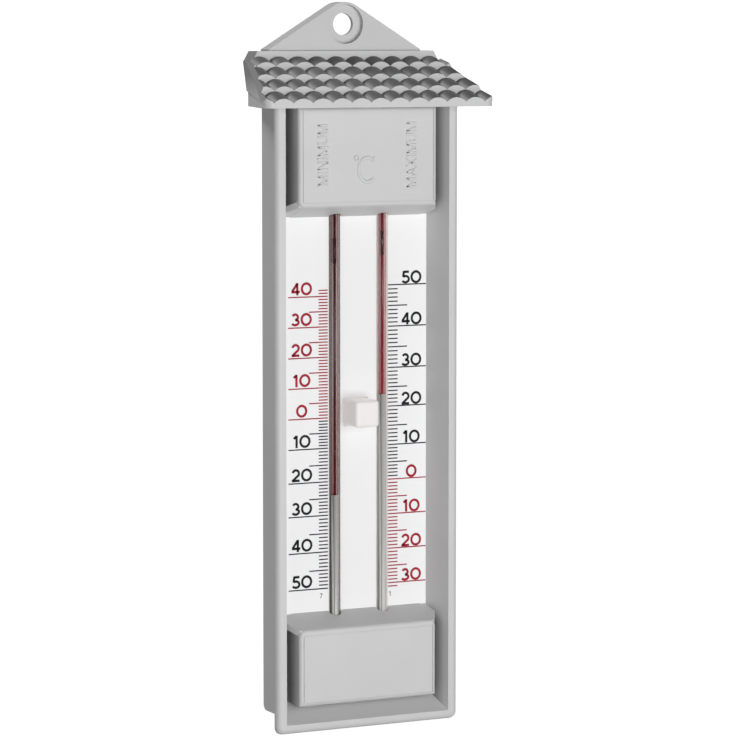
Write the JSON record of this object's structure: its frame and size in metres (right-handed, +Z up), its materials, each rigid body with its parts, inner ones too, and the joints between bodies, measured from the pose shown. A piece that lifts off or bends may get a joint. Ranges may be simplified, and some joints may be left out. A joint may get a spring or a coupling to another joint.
{
  "type": "maximum minimum thermometer",
  "caption": "Wall-hung maximum and minimum thermometer: glass U-tube on a white scale in a house-shaped grey frame with tiled roof, sliding index markers and a push reset button.",
  "frame": {"origin": "axis of the hanging hole, on the rear face of the thin wall that the hole goes through", "axes": "+Z up along the tube legs, +Y towards the wall (the scale faces -Y), +X to the viewer's right"},
  "size_m": [0.0804, 0.033, 0.232],
  "materials": {
    "housing_plastic": "light grey moulded plastic, fine satin",
    "frame_plastic": "light grey moulded plastic, fine satin",
    "roof_plastic": "light grey moulded plastic, fine satin",
    "cover_plastic": "light grey moulded plastic, fine satin",
    "scale_white": "white printed plastic",
    "clear_glass": "clear glass",
    "grey_liquid": "grey metallic-looking indicator liquid",
    "red_liquid": "dyed red liquid",
    "index_black": "black glossy sheath",
    "steel": "plain steel",
    "button_white": "milky white plastic",
    "carrier_plastic": "plain white plastic",
    "magnet_rubber": "dark magnetic strip",
    "spring_steel": "spring wire",
    "soft_rubber": "soft black rubber",
    "foam": "grey closed-cell foam"
  },
  "bodies": {
    "case": {"rear_housing": "housing_plastic", "front_frame": "frame_plastic", "roof": "roof_plastic", "upper_cover": "cover_plastic", "lower_cover": "cover_plastic", "scale_plate": "scale_white", "u_tube": "clear_glass", "indicator_thread": "grey_liquid", "red_liquid_min": "red_liquid", "red_liquid_max": "red_liquid", "bend_saddle": "soft_rubber", "leg_saddle": "soft_rubber", "bulb_cushion": "foam", "case_screws": "steel", "roof_screws": "steel", "spring_lower": "spring_steel", "spring_upper": "spring_steel"},
    "reset": {"reset_button": "button_white", "magnet_carrier": "carrier_plastic", "magnet_left": "magnet_rubber", "magnet_right": "magnet_rubber"},
    "min_index": {"min_index_sheath": "index_black", "min_index_core": "steel"},
    "max_index": {"max_index_sheath": "index_black", "max_index_core": "steel"}
  },
  "joints": [
    {"name": "reset_press", "type": "slide", "parent": "case", "child": "reset", "axis": [0, 1, 0], "range_m": [0, 0.003], "stiffness_N_per_m": 320, "springref_m": -0.002, "deforming": ["spring_lower", "spring_upper"]},
    {"name": "min_index_slide", "type": "slide", "parent": "case", "child": "min_index", "axis": [0, 0, 1], "range_m": [-0.0744, 0.006]},
    {"name": "max_index_slide", "type": "slide", "parent": "case", "child": "max_index", "axis": [0, 0, 1], "range_m": [-0.0448, 0.006]}
  ]
}
